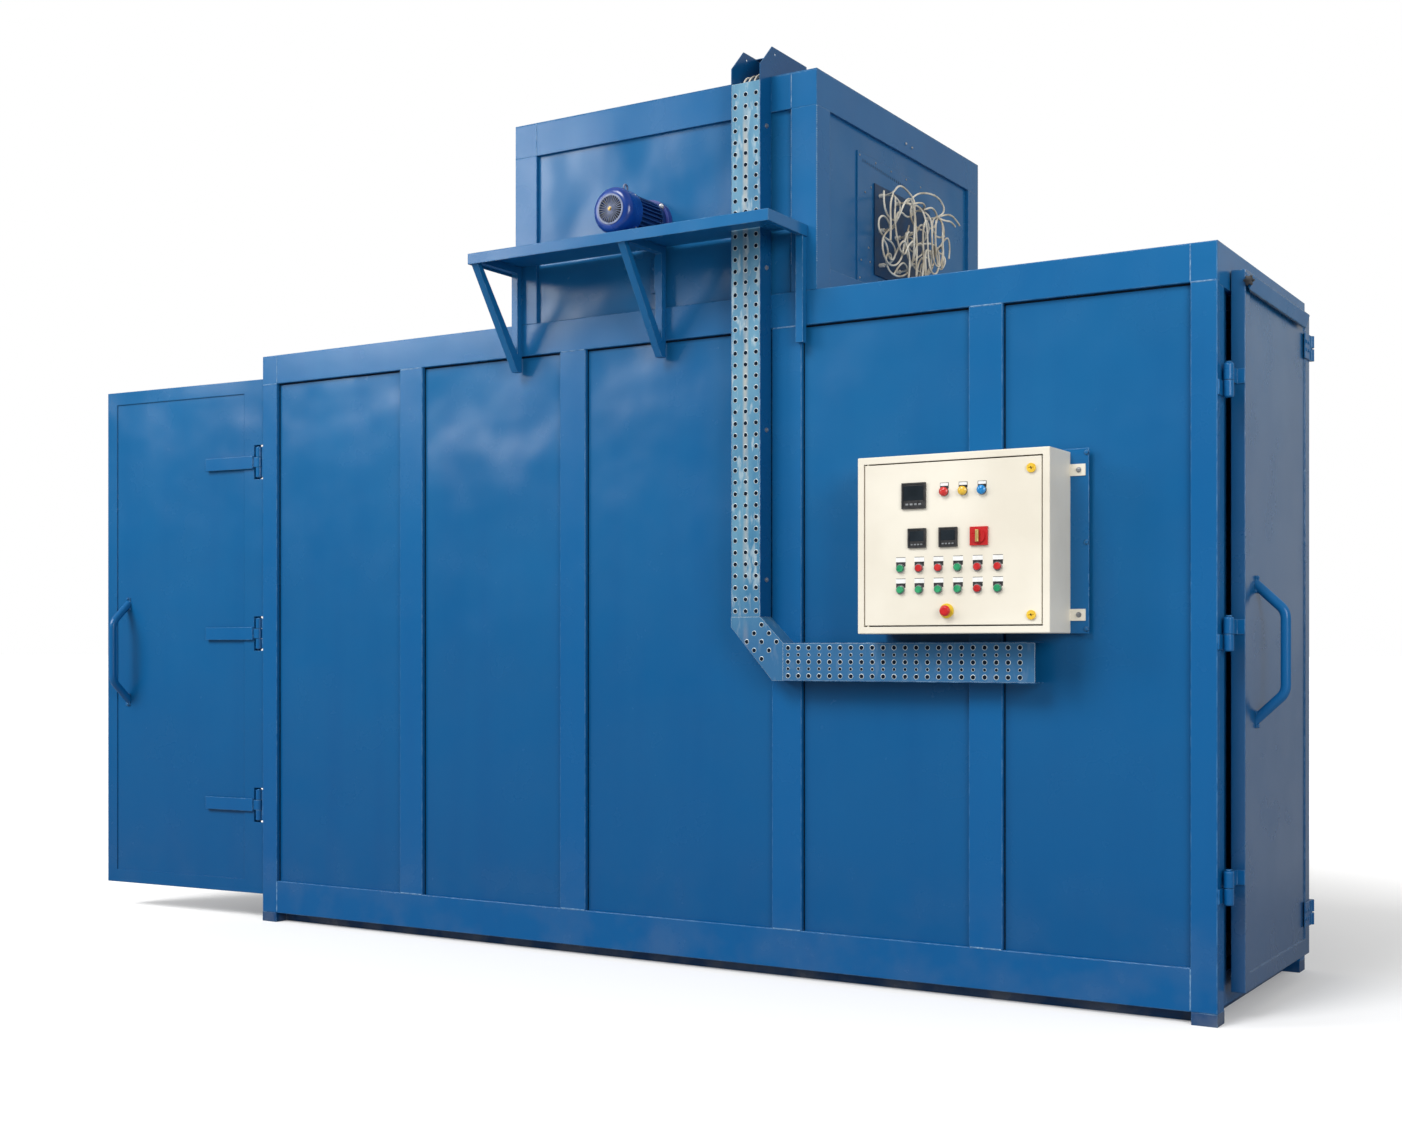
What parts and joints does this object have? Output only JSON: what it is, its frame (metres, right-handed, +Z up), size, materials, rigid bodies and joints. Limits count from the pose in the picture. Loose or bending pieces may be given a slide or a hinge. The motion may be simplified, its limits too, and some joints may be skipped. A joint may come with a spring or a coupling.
{
  "type": "powder coating oven",
  "caption": "Blue walk-through powder coating oven with doors at both ends, a roof plenum, a motor shelf, a cable tray and a control cabinet.",
  "frame": {"origin": "on the floor under the middle of the chamber, on the underside of the skid's middle cross-member", "axes": "+X along the chamber towards the closed end door, +Y from the operator's side to the back, +Z up"},
  "size_m": [5.8629, 1.957, 3.75],
  "materials": {
    "blue_paint": "gloss",
    "blue_paint_dark": "satin",
    "skid_paint": "satin",
    "panel_lining": "satin",
    "motor_paint": "gloss",
    "galvanised": "satin",
    "cream_paint": "satin",
    "black_plastic": "satin",
    "red_plastic": "gloss",
    "green_plastic": "gloss",
    "lamp_plastic": "gloss",
    "white_plate": "satin",
    "yellow_plastic": "gloss",
    "cream_wire": "matte",
    "ceramic_bush": "matte",
    "steel": "satin",
    "fan_plastic": "matte"
  },
  "bodies": {
    "housing": {"base_frame": "skid_paint", "floor_panel": "panel_lining", "front_wall": "blue_paint", "back_wall": "blue_paint", "roof_panel": "blue_paint", "corner_strips": "blue_paint", "wall_bands": "blue_paint", "wall_battens": "blue_paint", "door_jambs": "blue_paint", "door_lintels": "blue_paint", "door_sills": "blue_paint", "plenum_casing": "blue_paint", "plenum_corner_posts": "blue_paint", "plenum_top_band": "blue_paint", "plenum_bottom_bands": "blue_paint", "plenum_roof": "blue_paint", "terminal_plate": "blue_paint_dark", "terminal_board": "black_plastic", "heater_terminals": "ceramic_bush", "heater_wire_bundle": "cream_wire", "motor_shelf": "blue_paint", "shelf_brackets": "blue_paint", "motor_body": "motor_paint", "motor_end_bell": "motor_paint", "motor_flange": "motor_paint", "motor_fan_cowl": "motor_paint", "motor_fan_grille": "steel", "motor_eye_bolt": "steel", "tray_vertical": "galvanised", "tray_cover_upright": "galvanised", "tray_elbow": "galvanised", "tray_horizontal": "galvanised", "tray_cover_level": "galvanised", "tray_top_cables": "cream_wire", "cabinet_backing_plate": "blue_paint", "cabinet_shell": "cream_paint", "right_hinge_post_halves": "blue_paint", "left_hinge_post_halves": "blue_paint"},
    "right_door": {"right_door_leaf": "blue_paint", "right_door_handle": "blue_paint", "right_hinge_door_halves": "blue_paint", "right_door_visor": "blue_paint", "right_door_latches": "blue_paint"},
    "left_door": {"left_door_leaf": "blue_paint", "left_door_handle": "blue_paint", "left_hinge_straps": "blue_paint"},
    "cabinet_door": {"cabinet_door": "cream_paint", "process_controllers": "black_plastic", "pilot_lamps": "lamp_plastic", "green_buttons": "green_plastic", "red_buttons": "red_plastic", "button_bezels": "black_plastic", "label_plates": "white_plate", "emergency_stop": "red_plastic", "main_isolator": "red_plastic", "cabinet_door_locks": "yellow_plastic"},
    "motor_fan": {"motor_fan": "fan_plastic"}
  },
  "joints": [
    {"name": "right_door_swing", "type": "hinge", "parent": "housing", "child": "right_door", "pos_m": [2.34, -0.606, 1.387], "axis": [0, 0, -1], "range_deg": [0, 160]},
    {"name": "left_door_swing", "type": "hinge", "parent": "housing", "child": "left_door", "pos_m": [-2.359, -0.638, 1.4], "axis": [0, 0, 1], "range_deg": [-93.6, 66.4]},
    {"name": "cabinet_door_swing", "type": "hinge", "parent": "housing", "child": "cabinet_door", "pos_m": [1.067, -0.869, 1.71], "axis": [0, 0, -1], "range_deg": [0, 110]},
    {"name": "motor_fan_spin", "type": "hinge", "parent": "housing", "child": "motor_fan", "pos_m": [-0.05, -0.9, 3.107], "axis": [0, 1, 0], "continuous": true}
  ]
}
